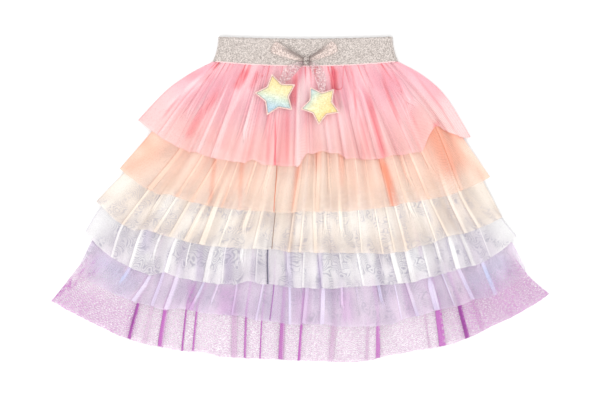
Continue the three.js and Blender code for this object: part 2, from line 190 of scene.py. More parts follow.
def curve_through(points, t):
    """A point at t on the smooth curve through evenly numbered points."""
    n = clamp(int(t), 0, len(points) - 2)
    t -= n
    b, c = points[n], points[n + 1]
    a = points[n - 1] if n else [2 * p - q for p, q in zip(b, c)]
    d = points[n + 2] if n + 2 < len(points) else [2 * q - p for p, q in zip(b, c)]
    weights = (
        ((2 - t) * t - 1) * t / 2,
        ((3 * t - 5) * t * t + 2) / 2,
        ((4 - 3 * t) * t + 1) * t / 2,
        (t - 1) * t * t / 2,
    )
    return [sum(w * v for w, v in zip(weights, values)) for values in zip(a, b, c, d)]


def row_at(rows, share):
    """The row of points at a share of the way down, on smooth curves through rows of points."""
    return [curve_through(column, share * (len(rows) - 1)) for column in zip(*rows)]


def select_only(*pieces):
    bpy.ops.object.select_all(action="DESELECT")
    for piece in pieces:
        piece.select_set(True)
    bpy.context.view_layer.objects.active = pieces[0]


def edit_all(piece, *operators):
    """Runs mesh operators on the whole of a piece."""
    select_only(piece)
    bpy.ops.object.mode_set(mode="EDIT")
    bpy.ops.mesh.select_all(action="SELECT")
    for operator in operators:
        operator()
    bpy.ops.object.mode_set(mode="OBJECT")


def merge_doubles():
    bpy.ops.mesh.remove_doubles(threshold=0.00001)


def sheet_piece(name, across, points):
    """A sheet of points that lie in rows of across points each."""
    down = len(points) // across
    bpy.ops.object.select_all(action="DESELECT")
    bpy.ops.mesh.primitive_grid_add(x_subdivisions=across - 1, y_subdivisions=down - 1, size=1)
    piece = bpy.context.object
    piece.name = piece.data.name = name
    piece.data.vertices.foreach_set("co", [value for point in points for value in point])
    piece.data.update()
    return piece


def grid(across, down):
    """The places of a sheet's points, from -1 to 1 across and from 0 to 1 down."""
    return [(2 * m / (across - 1) - 1, n / (down - 1)) for n in range(down) for m in range(across)]


def length_along(points, across, column):
    """The length of a sheet down one of its columns."""
    line = points[column::across]
    return sum((b - a).length for a, b in zip(line, line[1:]))


def own_layout(piece, sizes):
    """Gives each corner the place of its vertex on the flat cloth, in metres."""
    flat = [value for loop in piece.data.loops for value in sizes[loop.vertex_index]]
    piece.data.uv_layers.active.data.foreach_set("uv", flat)


def even_layout(piece, across, step, down_step):
    """Lays a sheet's points flat in even steps, in metres."""
    count = len(piece.data.vertices)
    own_layout(piece, [(m % across * step, m // across * down_step) for m in range(count)])


def own_values(piece, **lists):
    """Gives a piece attributes, each with a value for every point."""
    for name, values in lists.items():
        piece.data.attributes.new(name, "FLOAT", "POINT").data.foreach_set("value", values)


def face_up(piece):
    """Turns a sheet whose faces look down."""
    if piece.data.polygons[0].normal.z < 0 or sum(face.normal.z for face in piece.data.polygons) < 0:
        edit_all(piece, bpy.ops.mesh.flip_normals)


def declare_sheet(piece, width, length, sides=1):
    """Works out how much of the size that a sheet is cut to the cut leaves, and does nothing with it."""
    area = sum(face.area for face in piece.data.polygons) / sides
    share = clamp(area / (width * length), 0.3)
    share * width * length


def finish_piece(piece, material, slot, *replaced):
    select_only(piece)
    bpy.ops.object.shade_smooth()
    piece.data.materials.clear()
    piece.data.materials.append(material)
    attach(piece, "root")
    if replaced:
        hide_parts(*replaced)
    return piece


# Shader maths as expressions.
class Value:
    """A number or colour that varies over a surface."""

    def __init__(self, finish, socket):
        self.finish = finish
        self.socket = socket

    def math(self, operation, *others):
        inputs = dict(enumerate((self, *others)))
        return self.finish.node("ShaderNodeMath", {"operation": operation}, inputs)

    def __add__(self, other):
        return self.math("ADD", other)

    def __mul__(self, other):
        return self.math("MULTIPLY", other)

    __radd__, __rmul__ = __add__, __mul__

    def __sub__(self, other):
        return self.math("SUBTRACT", other)

    def __rsub__(self, other):
        return self.finish.node("ShaderNodeMath", {"operation": "SUBTRACT"}, {0: other, 1: self})

    def sine(self):
        return self.math("SINE")

    def cosine(self):
        return self.math("COSINE")

    def within(self, low, high):
        return self.math("MAXIMUM", low).math("MINIMUM", high)

    def steps(self, low, high):
        """0 below low, 1 above high, and smooth in between."""
        settings = {"interpolation_type": "SMOOTHSTEP"}
        return self.finish.node("ShaderNodeMapRange", settings, {0: self, 1: low, 2: high})


class Finish:
    """A material and its nodes."""

    def __init__(self, name, **constants):
        self.material = bpy.data.materials.new(name)
        self.material.use_nodes = True
        self.tree = self.material.node_tree
        self.tree.nodes.clear()
        self.output = self.tree.nodes.new("ShaderNodeOutputMaterial")
        self.shader = self.tree.nodes.new("ShaderNodeBsdfPrincipled")
        self.tree.links.new(self.shader.outputs[0], self.output.inputs["Surface"])
        self.surface(**constants)

    def node(self, kind, settings=None, inputs=None, output=0):
        made = self.tree.nodes.new(kind)
        for key, value in (settings or {}).items():
            setattr(made, key, value)
        for key, value in (inputs or {}).items():
            self.feed(made.inputs[key], value)
        return Value(self, made.outputs[output])

    def feed(self, socket, value):
        if isinstance(value, Value):
            self.tree.links.new(value.socket, socket)
        elif isinstance(value, tuple) and len(value) == 3 and socket.type == "RGBA":
            socket.default_value = (*value, 1)
        else:
            socket.default_value = value

    def surface(self, **inputs):
        for socket, value in inputs.items():
            self.feed(self.shader.inputs[socket.replace("_", " ")], value)
        return self.material

    def place(self):
        """The place on the object, in metres, from the Object output."""
        return self.node("ShaderNodeTexCoord", output=3)

    def cloth(self):
        """The place on the flat cloth, in metres."""
        return self.node("ShaderNodeUVMap", {"uv_map": "UVMap"})

    def parts(self, vector):
        split = self.node("ShaderNodeSeparateXYZ", None, {0: vector})
        return [Value(self, output) for output in split.socket.node.outputs]

    def attribute(self, name):
        """The value of a point's attribute, from the Fac output."""
        return self.node("ShaderNodeAttribute", {"attribute_name": name}, output=2)

    def noise(self, vector, scale, detail=2.0):
        inputs = {"Vector": vector, "Scale": scale, "Detail": detail}
        return self.node("ShaderNodeTexNoise", None, inputs)

    def streaks(self, vector, across, along, detail=1.0):
        """Noise with its own number of spots in a metre across and along."""
        inputs = {0: vector, 1: (across, along, 0.0)}
        scaled = self.node("ShaderNodeVectorMath", {"operation": "MULTIPLY"}, inputs)
        return self.noise(scaled, 1.0, detail)

    def cells(self, vector, scale):
        """A colour by chance for each small cell."""
        return self.node("ShaderNodeTexVoronoi", None, {"Vector": vector, "Scale": scale}, 1)

    def mix(self, factor, a, b):
        inputs = {0: factor, 6: a, 7: b}
        return self.node("ShaderNodeMix", {"data_type": "RGBA"}, inputs, 2)

    def layers(self, tint, *layers):
        """A tint with others laid over it in turn, each after how much of it shows."""
        for share, layer in layers:
            tint = self.mix(share, tint, layer)
        return tint

    def bump(self, height, strength, distance):
        inputs = {"Strength": strength, "Distance": distance, "Height": height}
        return self.node("ShaderNodeBump", None, inputs)


def colour(red, green, blue):
    """A screen colour, 0 to 255, as the renderer's linear numbers."""

    def linear(value):
        value /= 255
        return value / 12.92 if value <= 0.04045 else ((value + 0.055) / 1.055) ** 2.4

    return linear(red), linear(green), linear(blue)


def net_threads(finish, cell):
    """1 on the threads of a net of round holes, 0 in the holes; cell is in metres."""
    x, y, _ = finish.parts(finish.cloth())
    turn = 2 * math.pi / (cell * math.sqrt(3) / 2)
    half, tall = turn / 2, turn * math.sqrt(3) / 2
    waves = (x * turn).cosine() + (x * half + y * tall).cosine() + (x * half - y * tall).cosine()
    return 1 - waves.steps(-0.6, 1.4)


def tulle(name, base, streak, pale, warm, deep, thin, thick, low=None, cell=0.0013, net=0.5,
          moire=0.0, glint=0.0):
    """Soft tulle. base and streak are its own shades, low its shade towards the hem, pale and warm the
    ones of its folds, and deep the one of its gaps. Through the tone attribute, pale also paints light,
    and warm and deep paint shade, on folds, creases and gaps. thin and thick say how much one ply and a
    pressed fold cover, net how much the threads stand out, moire how strong the swirls of crossed plies
    are, and glint how much it glitters, as painted glints. cell is the size of its mesh, in metres."""
    base, streak, pale, warm, deep = (colour(*shade) for shade in (base, streak, pale, warm, deep))
    finish = Finish(name, Roughness=0.85, IOR=1.3, Specular_IOR_Level=0.15, Sheen_Weight=0.2,
                    Sheen_Roughness=0.5)
    ply = finish.attribute("ply")
    tone = finish.attribute("tone")
    cloth = finish.cloth()
    threads = net_threads(finish, cell)
    drift = finish.noise(cloth, 24.0, 0.0)
    wide = finish.streaks(cloth, 38.0, 9.0, 0.0)
    grain = finish.streaks(cloth, 560.0, 680.0)
    shade = (wide * 0.45 + drift * 0.55).steps(0.32, 0.68)
    tint = finish.mix(shade, base, streak)
    if low:
        tint = finish.mix(finish.attribute("down").steps(0.35, 1.0) * 0.7, tint, colour(*low))
    # Tone above 0 paints shade in warm and deep, below 0 paints light in pale; it also gives laps their own
    # denser colour.
    fold_tones_and_painted_light = [(tone, warm), (tone - 1, deep), (0 - tone, pale)]
    tint = finish.layers(tint, *((amount.within(0.0, 1.0), shown) for amount, shown in fold_tones_and_painted_light))
    tint = finish.mix(grain.steps(0.56, 0.74) * 0.3, tint, tuple(0.55 * value for value in warm))
    cover = ply * (thick - thin) + thin + (shade - 0.5) * 0.14 + (grain - 0.5) * 0.3
    if moire:
        _, along, _ = finish.parts(cloth)
        swirl = (along * 1500 + finish.noise(cloth, 60.0, 1.0) * 80).sine()
        patch = finish.streaks(cloth, 60.0, 30.0).steps(0.42, 0.54)
        outer = finish.attribute("body").steps(1.02, 1.25)
        shadow = (swirl.steps(-0.3, 1.0) * 0.85 + 0.15) * patch * (1 - ply) * (1 - outer) * moire
        darker, sides = colour(150, 146, 162), colour(160, 170, 172)
        tint = finish.layers(tint, (shadow, darker), (outer * moire * 0.22, sides))
        cover = cover + shadow * 0.3
    if glint:
        across, along, _ = finish.parts(cloth)
        rows = (along * 2500 + (across * 1150 + drift * 9).sine() * 1.4).sine()
        dash = finish.streaks(cloth, 420.0, 760.0)
        # Painted glints: white flecks of the glitter, where the net also lets more of what is behind show.
        painted_glint = (rows * 0.07 + dash - tone * 0.12).steps(0.4, 0.56) * (1 - ply) * glint
        tint = finish.mix(painted_glint, tint, (1.0, 0.98, 1.0))
        cover = cover * (1.2 - painted_glint * 0.9)
    cover = cover * (threads * net + (1 - net * 0.5)) * finish.attribute("body")
    relief = finish.bump(threads, 0.15, 0.0002)
    return finish.surface(Base_Color=tint, Alpha=cover.within(0.0, 0.98), Normal=relief)


TULLE = {
    "pink": tulle("pink_tulle", (250, 182, 194), (254, 206, 212), (255, 234, 234), (246, 136, 144),
                  (222, 88, 110), 0.66, 0.73, low=(254, 212, 206)),
    "peach": tulle("peach_tulle", (255, 206, 187), (255, 219, 203), (255, 238, 222), (249, 154, 122),
                   (98, 66, 60), 0.6, 0.73, low=(255, 226, 206), net=0.4),
    "cream": tulle("cream_tulle", (254, 238, 223), (255, 248, 240), (255, 248, 236), (216, 188, 170),
                   (110, 94, 92), 0.62, 0.72, moire=0.6, net=0.4),
    "mint": tulle("mint_tulle", (243, 239, 240), (250, 248, 247), (254, 254, 254), (204, 190, 218),
                  (92, 96, 104), 0.58, 0.67, moire=0.75, net=0.4),
    "blue": tulle("blue_tulle", (229, 214, 239), (246, 232, 247), (212, 222, 252), (214, 152, 218),
                  (104, 72, 120), 0.44, 0.58, moire=0.6),
    "base": tulle("purple_net", (209, 176, 203), (217, 190, 212), (248, 236, 244), (184, 104, 180),
                  (130, 58, 132), 0.48, 0.8, cell=0.0023, glint=1.0),
}

# Small pleats by tier: the pixel where each meets the hem in the picture, and how wide its plies lie
# over each other there. Those with two more numbers are gaps between folds, with their tone of painted
# shade and their lean.
PLEATS = {
    "pink": (
        (159, 6), (171, 3), (184, 4), (198, 5), (212, 6), (238, 8), (262, 4), (275, 1.5), (296, 7),
        (312, 3), (330, 4), (346, 5), (362, 6), (381, 7), (400, 5), (414, 3), (430, 5), (447, 5),
    ),
    "peach": (
        (150, 4), (177, 5), (192, 3), (207, 6), (222, 3), (240, 5), (256, 3), (274, 2, 1.8, -2.7),
        (294, 6), (305, 3), (317, 6), (330, 3), (345, 5), (360, 3), (372, 4), (392, 8), (406, 3),
        (416, 5), (429, 3), (443, 5), (462, 4),
    ),
    "cream": (
        (123, 5), (140, 3), (155, 6), (170, 3), (186, 5), (202, 6), (219, 3), (237, 6), (254, 3),
        (272, 2, 1.7, -1), (289, 5), (300, 4), (316, 5), (327, 4), (343, 6), (362, 3), (383, 6), (395, 4),
        (407, 5), (423, 6), (436, 4), (448, 5), (466, 5), (479, 4),
    ),
    "mint": (
        (112, 5), (130, 4), (148, 6), (166, 4), (183, 4), (205, 7), (222, 4), (239, 6), (256, 4),
        (268, 4, 1.9, -0.6), (290, 5), (303, 4), (323, 6), (345, 5), (364, 4), (386, 6), (400, 5),
        (414, 6), (430, 6), (444, 5), (458, 5), (474, 5), (490, 4),
    ),
    "blue": (
        (111, 5), (133, 4), (152, 4), (166, 5), (190, 6), (206, 4), (232, 5), (256, 4),
        (270, 2.5, 1.5, 0), (290, 4), (304, 4), (322, 5), (342, 4), (362, 4), (386, 6), (402, 5),
        (418, 4), (437, 6), (455, 4), (473, 6), (496, 4),
    ),
    "base": (
        (129, 3), (160, 5), (182, 2), (193, 2), (245, 3), (260, 1.5), (281, 5), (299, 3), (378, 5),
        (443, 7.5), (468, 4),
    ),
}

# Deeper and paler places in the folds, as strokes in the picture. Each has half its width, its tone,
# above 0 for shade and below 0 for light, and the x and y of the points it runs through, in pixels.
SHADES = {
    "pink": (
        (1.3, 0.5, 188, 84, 159, 123), (4, 0.65, 226, 82, 198, 118, 180, 150),
        (3.5, 0.8, 248, 66, 233, 92), (2.5, 0.7, 259, 68, 249, 92), (3.2, 1.0, 297, 66, 292, 112),
        (12, 0.3, 282, 98, 280, 190), (1.8, 0.4, 270, 100, 267, 175), (2, 0.4, 288, 100, 287, 175),
        (0.9, 0.8, 275.5, 110, 275, 190), (2.8, 1.0, 333, 66, 334, 96),
        (1.2, 0.5, 351, 62, 354, 84, 358, 146), (2.8, 1.0, 364, 82, 373, 114, 380, 139, 387, 176),
        (1.9, 0.7, 380, 68, 389, 96, 403, 132), (4.5, 0.3, 362, 108, 366, 170),
        (1.2, 0.45, 388, 62, 401, 89, 430, 160), (1.2, 0.45, 406, 62, 441, 107, 466, 150),
        (3, 0.8, 436, 118, 437, 146), (2, -0.75, 299, 66, 298, 190),
        (2.2, -0.5, 254, 68, 227, 118, 210, 170), (2.2, -0.5, 260, 74, 246, 128, 236, 180),
        (7, -0.5, 440, 88, 470, 146), (1.8, -0.5, 212, 66, 160, 112), (7, -0.3, 320, 112, 332, 160),
        (2.5, -0.4, 340, 92, 346, 160), (6, -0.3, 160, 132, 262, 170), (5, 0.3, 180, 76, 216, 76),
        (5, -0.6, 305, 68, 304, 112),
    ),
    "peach": (
        (2.3, 0.45, 217, 140, 209, 215), (2.3, 0.45, 243, 140, 239, 220), (2.4, 0.8, 299, 155, 291, 222),
        (3.2, 0.5, 318, 140, 318, 180), (3.2, 0.45, 342, 140, 341, 198),
        (4, 0.9, 377, 146, 390, 185, 400, 222), (16, 0.7, 426, 112, 462, 186),
        (16, 0.4, 160, 132, 112, 176), (36, -0.55, 240, 200, 360, 200), (4.5, -0.6, 458, 136, 496, 186),
        (6, -0.3, 114, 172, 146, 144), (7, -0.35, 400, 176, 414, 214),
    ),
    "cream": (
        (2.4, 0.7, 295, 196, 289, 262), (8, 0.25, 134, 196, 114, 236), (5, 0.2, 392, 200, 404, 256),
        (10, -0.3, 345, 200, 345, 258), (7, -0.3, 226, 200, 221, 258), (22, 0.32, 440, 186, 474, 240),
    ),
    "mint": (
        (4.5, -0.8, 408, 240, 429, 290), (4, 0.6, 201, 238, 199, 290), (5, 0.6, 229, 240, 229, 296),
        (4.5, 0.6, 289, 240, 289, 300), (2.8, 0.8, 320, 244, 320, 302), (2.5, 0.5, 418, 242, 422, 284),
        (6, 0.5, 152, 220, 144, 258), (3.5, 0.35, 378, 242, 381, 292), (4.5, 0.3, 183, 238, 179, 284),
        (4.5, 0.3, 255, 242, 254, 296), (22, 0.2, 446, 226, 492, 270),
    ),
    "blue": (
        (13, -0.7, 84, 256, 136, 296), (13, -0.7, 518, 256, 466, 296), (4.5, 0.8, 193, 276, 189, 322),
        (10, 0.55, 228, 278, 226, 326), (8, 0.35, 302, 282, 303, 332), (6, 0.5, 345, 282, 348, 330),
        (4.5, 0.3, 404, 276, 411, 324),
    ),
    "base": (
        (26, 0.52, 16, 292, 150, 332), (28, 0.66, 592, 272, 430, 328), (4.5, 0.4, 137, 296, 127, 340),
        (0.9, 0.9, 30, 318, 50, 299, 84, 270, 112, 244), (0.8, 0.7, 36, 308, 84, 278, 130, 250),
        (12, 0.35, 76, 262, 104, 268), (10, 0.35, 528, 262, 500, 268),
    ),
}


def in_picture(x, y):
    return x / PIXEL + PICTURE_MIDDLE[0], PICTURE_MIDDLE[1] - y / PIXEL


def shade_at(strokes, px, py):
    """The tone that the strokes give a place: each fades across its width and towards its ends."""
    tone = 0
    for half, strength, *line in strokes:
        nearest = []
        for n, ((x0, y0), (x1, y1)) in enumerate(zip(line, line[1:])):
            run_x, run_y = x1 - x0, y1 - y0
            t = clamp(((px - x0) * run_x + (py - y0) * run_y) / (run_x**2 + run_y**2))
            away = math.hypot(px - x0 - run_x * t, py - y0 - run_y * t)
            nearest.append((away, (n + t) / (len(line) - 1)))
        away, along = min(nearest)
        if away < 1.6 * half:
            ends = smooth(0, 0.3, along) * (1 - smooth(0.7, 1, along))
            tone += strength * ends * (1 - smooth(0.3 * half, 1.6 * half, away))
    return tone


def nearest_heights(node, rows):
    """Rows of places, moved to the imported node's own nearest points, at the middle of its wall."""
    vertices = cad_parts[node].data.vertices
    tree = kdtree.KDTree(len(vertices))
    for n, vertex in enumerate(vertices):
        tree.insert((vertex.co.x, vertex.co.y, 0), n)
    tree.balance()

    def nearest(x, y):
        spot = metres(x, y, 0)
        near = tree.find_range(spot, 0.0002) or [tree.find(spot)]
        heights = [vertices[n].co.z * 1000 for _, n, _ in near]
        own = near[0][0]
        return own.x * 1000 - SHIFT[0], own.y * 1000 - SHIFT[1], (min(heights) + max(heights)) / 2

    return [[nearest(*place) for place in row] for row in rows]


def pleat_path(phase, tightness):
    """Where a point of a pleat lies across it, from -1 to 1: it turns back where the pleat is tight."""
    return (1 - tightness) * phase + tightness * (2.5 * phase**3 - 1.5 * phase)


def pleat_height(phase):
    return smooth(-0.6, 0.5, phase) - smooth(0.62, 1, phase)


# The lines of points across a pleat, from -1 to 1.
PHASES = (-1, -0.92, -0.8, -0.6, -0.45, -0.3, -0.1, 0.1, 0.3, 0.45, 0.6, 0.7, 0.8, 0.9, 1)


def side_body(tier_name, side, v):
    """How much more or less a panel covers towards its side edges, where side is 1."""
    if tier_name == "base":
        return lerp(0.3, 1, smooth(0.5, 0.78, v)) * (1 + 0.1 * smooth(0.86, 1, side))
    if tier_name == "blue":
        return 1 - 0.65 * smooth(0.62, 0.92, side) * smooth(0.4, 0.9, v)
    return 1 + 0.4 * smooth(0.86, 1, side)


class Pleat:
    """A small pleat: where it is across a panel, how far it reaches to each side, how it leans and
    spreads, where along it the plies close, and how they rise, slip at the hem and are toned."""

    def __init__(self, place, reach, chance, tone, splay):
        self.place, self.reach, self.splay = place, reach, splay
        self.lean = chance.uniform(-0.8, 0.8)
        self.start = chance.uniform(-0.2, 0.35)
        self.end = 2 if chance.random() < 0.7 else chance.uniform(0.75, 0.95)
        self.rise = chance.uniform(0.7, 1)
        self.slip = chance.uniform(-0.5, 2.2)
        self.tone = tone * chance.uniform(0.2 if tone < 1 else 0.8, 1.2)

    def open_gap(self, tone, lean):
        """Makes it a gap between two folds, painted dark as shade, along the whole panel."""
        self.lean, self.start, self.end, self.tone = lean, -0.5, 2, tone

    def edge(self, v, side=0):
        return self.place + self.lean * (1 - v) + self.splay * min(0.15, 1 - v) + side * self.reach

    def tightness(self, v):
        return smooth(self.start, self.start + 0.3, v) * (1 - smooth(self.end - 0.2, self.end, v))


def tulle_panel(name, laps, tone, down, seed, gathers, height, swell, spacing, narrow,
                strokes=(), painted_facet_shade=0, fade=0):
    """One panel of a tier, as a sheet in its solid's place, with its small pleats. down is its rows of
    points, gathers its creases at the waist for each column of the plan, each a dip with painted shade
    in it, swell how much it rises between two pleats, and spacing the distance between its lines of points
    there."""
    tier_name = name.split("_")[0]
    tier = TIERS[tier_name]
    first = NAMES.index(tier_name)
    width = LAST + 1 - 2 * first
    rows = PLAN[tier["top"]:tier["row"] + 1]
    solid = nearest_heights(name, [row[first:first + width] for row in rows])
    hem = solid[-1]
    chance = random.Random(seed)

    def place_at(x):
        for n, ((a, *_), (b, *_)) in enumerate(zip(hem, hem[1:])):
            if a <= x <= b:
                return n + (x - a) / (b - a)
        return 0 if x < hem[0][0] else len(hem) - 1

    middles = [picture_x(pixel) for pixel, *_ in laps]
    spread = (0.85, 1.15) if tier_name == "base" else (0.5, 2.1)
    pleats = []
    for n, (_, lap, *gap) in enumerate(laps):
        gaps = [abs(middles[n] - middles[m]) for m in (n - 1, n + 1) if 0 <= m < len(laps)]
        share = 1 if gap else chance.uniform(*spread)
        half = min(narrow * lap * PIXEL * share, 0.46 * min(gaps))
        reach = (place_at(middles[n] + half) - place_at(middles[n] - half)) / 2
        place = place_at(middles[n])
        splay = 9 * clamp((place - 0.45 * width) / 8, -1) if tier_name == "base" else 0
        pleats.append(Pleat(place, reach, chance, tone, splay))
        if gap:
            pleats[-1].open_gap(*gap)
        if tier_name == "base":
            pleats[-1].end = 2

    # Each station is a line of points from the top to the hem, in a pleat or between two.
    stations = [(None, 0, 0)]
    for n, pleat in enumerate([*pleats, None]):
        left = middles[n - 1] if n else hem[0][0]
        right = middles[n] if pleat else hem[-1][0]
        steps = max(2, int((right - left) / spacing))
        stations += [(None, n, (m + 1) / steps) for m in range(steps - 1)]
        if pleat:
            stations += [(pleat, n, phase) for phase in PHASES]
    stations.append((None, len(pleats), 1))
    stations.insert(1, (None, 0, 0.9 / max(1, middles[0] - hem[0][0])))
    stations.insert(-1, (None, len(pleats), 1 - 0.9 / max(1, hem[-1][0] - middles[-1])))
    ends = [None, *pleats, None]
    gather_ends = [chance.uniform(0.12, 0.5) for _ in range(200)]
    waves = [chance.uniform(0, 6.28) for _ in range(4)]

    points, plies, tones, bodies = [], [], [], []
    top_fade = 0 if tier["top"] == 0 else 0.22
    for n in range(down):
        v = n / (down - 1)
        row = row_at(solid, v)
        for pleat, number, t in stations:
            lift, ply, slip = 0, 0, 0
            if pleat:
                tight = pleat.tightness(v)
                at = pleat.edge(v) + pleat.reach * pleat_path(t, tight)
                lift = height * pleat.rise * tight * pleat_height(t)
                ply = tight * smooth(-0.65, -0.45, t) * (1 - smooth(0.78, 0.92, t))
                slip = tight * pleat.slip * smooth(-0.5, 0.5, t) * (1 - smooth(0.6, 1, t))
                # A thin painted shadow on the ply beside each lap's folded edge.
                painted_lap_shadow = tight * smooth(-1, -0.93, t) * (1 - smooth(-0.9, -0.8, t))
                lap_tone_and_shade = ply * pleat.tone + 0.25 * painted_lap_shadow
            else:
                left, right = ends[number], ends[number + 1]
                start = left.edge(v, 1) if left else 0
                end = right.edge(v, -1) if right else width - 1
                at = lerp(start, end, t)
                lift = swell * math.sin(math.pi * t) * (0.6 + 0.4 * math.sin(number * 2.3 + waves[0]))
                # Painted shade and light across each facet between pleats: darker on one side, paler on the
                # other, mirrored between the two halves of the skirt.
                turned_to = -1 if number < len(pleats) / 2 else 1
                lap_tone_and_shade = painted_facet_shade * turned_to * (t - 0.5) * (0.75 + 0.5 * math.sin(number * 1.7 + waves[3]))
            at = clamp(at, 0, width - 1)
            x, y, z = curve_through(row, at)
            if gathers:
                turn = at * gathers + 0.35 * math.sin(at * 0.9) + 0.15 * math.sin(at * 3.1)
                reach = gather_ends[int(turn) % len(gather_ends)]
                crease = (0.5 + 0.5 * math.cos(2 * math.pi * turn)) ** 10
                crease *= 1 - smooth(0.25 * reach, reach, v)
                lift -= 0.9 * crease
                # Painted shade deepens the colour in each gather's crease.
                lap_tone_and_shade += 1.35 * crease * (0.35 + 0.65 * math.sin(turn * 1.9) ** 2)
            side = abs(2 * at / (width - 1) - 1)
            if tier_name == "base":
                x += math.copysign(3.2, at - width / 2) * side**40 * math.sin(math.pi * smooth(0.72, 1, v))
            flutter = 0.25 * math.sin(at * 2.1 + waves[1]) + 0.15 * math.sin(at * 5.3 + waves[2])
            y += v * v * (slip - flutter)
            stroke = shade_at(strokes, *in_picture(x, y)) if strokes else 0
            points.append(metres(x, y, max(0.15, z + lift - 0.25 * clamp(stroke, -1))))
            plies.append(max(ply, 0.2 if n == down - 1 else 0))
            tones.append(lap_tone_and_shade + stroke + (0.45 if side > 0.9999 else 0))
            hem_fade = 1 - fade * smooth(0.7, 1, v)
            bodies.append(smooth(-0.01, top_fade, v) * side_body(tier_name, side, v) * hem_fade)
    across = len(stations)
    length = length_along(points, across, across // 2)
    # Each station keeps its place along the hem's cloth from the top to the hem.
    hem_sizes, hem_points = [0], points[-across:]
    for a, b in zip(hem_points, hem_points[1:]):
        hem_sizes.append(hem_sizes[-1] + (b - a).length)
    downs = [v for _, v in grid(across, down)]
    piece = sheet_piece(f"{name}_sheet", across, points)
    own_layout(piece, [(hem_sizes[m % across], v * length) for m, v in enumerate(downs)])
    own_values(piece, ply=plies, tone=tones, body=bodies, down=downs)
    face_up(piece)
    slot = "purple_net" if tier_name == "base" else f"{tier_name}_tulle"
    finish_piece(piece, TULLE[tier_name], slot, name)
    declare_sheet(piece, hem_sizes[-1], length)


# How each tier's panels are made: the tone of its laps, how strongly painted shade turns to painted
# light across its facets, how sheer its front gets at the hem, its rows of points, and how wide and how
# high its laps are.
PANELS = {
    "pink": (-0.12, 0.62, 0.1, 44, 0.75, 0.2),
    "peach": (-0.12, 0.3, 0.4, 34, 0.6, 0.3),
    "cream": (-0.26, 0.2, 0.25, 34, 0.6, 0.5),
    "mint": (-0.2, 0.25, 0.15, 32, 0.6, 0.5),
    "blue": (-0.26, 0.25, 0.15, 32, 0.6, 0.5),
    "base": (1.0, 0, 0, 56, 1.1, 0.5),
}
MIRROR = 612  # the back's pleats are the front's, turned about half this pixel
for number, (tier_name, (tone, painted_facet_shade, fade, down, narrow, height)) in enumerate(PANELS.items()):
    laps = PLEATS[tier_name]
    strokes = [(half, depth, *zip(run[::2], run[1::2])) for half, depth, *run in SHADES[tier_name]]
    gathers, spacing = (0.31, 1.9) if tier_name == "pink" else (0, 3.0)
    tulle_panel(f"{tier_name}_front", laps, tone, down, number + 1, gathers, height=height, swell=0.25,
                spacing=spacing, narrow=narrow, strokes=strokes, painted_facet_shade=painted_facet_shade, fade=fade)
    turned = sorted((MIRROR - pixel, lap) for pixel, lap, *_ in laps)
    tulle_panel(f"{tier_name}_back", turned[::2], 0.3 * tone, down // 2 + 6, number + 20, gathers,
                height=0.4, swell=0.2, spacing=4.5, narrow=narrow)


def glitter(name, dark, light, size, cover=None, knit=0.0):
    """Glitter cloth: flakes painted in several brightnesses as glints, size metres wide, in a knit of the
    strength given.
    cover is how much of what is behind it a sheer one hides, at its least and at its most."""
    finish = Finish(name, IOR=1.45)
    place = finish.place()
    red, green, _ = finish.parts(finish.cells(place, 1 / size))
    fine = finish.noise(place, 1.3 / size, 2.0)
    flakes_and_glints = (red * 0.45 + fine * 0.55).steps(0.22, 0.78)
    if knit:
        x, y, _ = finish.parts(place)
        row, rib = 2 * math.pi / 0.0016, 2 * math.pi / 0.0019
        rows = (y * row).sine() * 0.5 + (x * rib).sine() * 0.3
        flakes_and_glints = flakes_and_glints + rows * knit
    # The flakes' light and dark are painted glints; their relief is real.
    tint = finish.mix(flakes_and_glints.within(0.0, 1.0), dark, light)
    if cover:
        # Painted shade in the creases of a sheer ribbon, where its plies also hide more of what is behind.
        crease = finish.attribute("crease")
        tint = finish.mix(crease, tint, tuple(0.55 * value for value in dark))
    relief = finish.bump(flakes_and_glints, 0.35, 0.0003)
    inputs = {"Base_Color": tint, "Roughness": 0.75 - green * 0.4, "Normal": relief}
    if cover:
        alpha = (red * 0.6 + fine * 0.4).steps(0.2, 0.8) * (cover[1] - cover[0]) + cover[0]
        inputs["Alpha"] = (alpha + crease * 0.5).math("MINIMUM", 0.95)
    return finish.surface(**inputs)


ELASTIC = glitter("glitter_elastic", colour(142, 132, 126), colour(226, 216, 210), 0.0007, knit=0.08)
# One ribbon in three copies: the loops' copy painted paler as lit, the knot's darker as shaded.
LIT_LOOP_RIBBON = glitter("lit_loop_ribbon", colour(188, 170, 164), colour(250, 232, 224), 0.0008,
                      cover=(0.35, 0.85))
RIBBON = glitter("glitter_ribbon", colour(150, 118, 122), colour(248, 226, 226), 0.0010,
                 cover=(0.15, 0.78))
SHADED_KNOT_RIBBON = glitter("shaded_knot_ribbon", colour(92, 80, 76), colour(206, 194, 188), 0.0010)


def thread(name, tint):
    finish = Finish(name, Roughness=0.6, Sheen_Weight=0.3)
    twist = finish.noise(finish.place(), 2500.0, 1.0)
    return finish.surface(Base_Color=finish.mix(twist, tint, tuple(0.8 * c for c in tint)),
                          Normal=finish.bump(twist, 0.3, 0.0001))


SEAM_THREAD = thread("seam_thread", colour(255, 220, 220))
STAR_THREAD = thread("star_thread", colour(150, 132, 136))


ELASTIC_WALL = 0.7


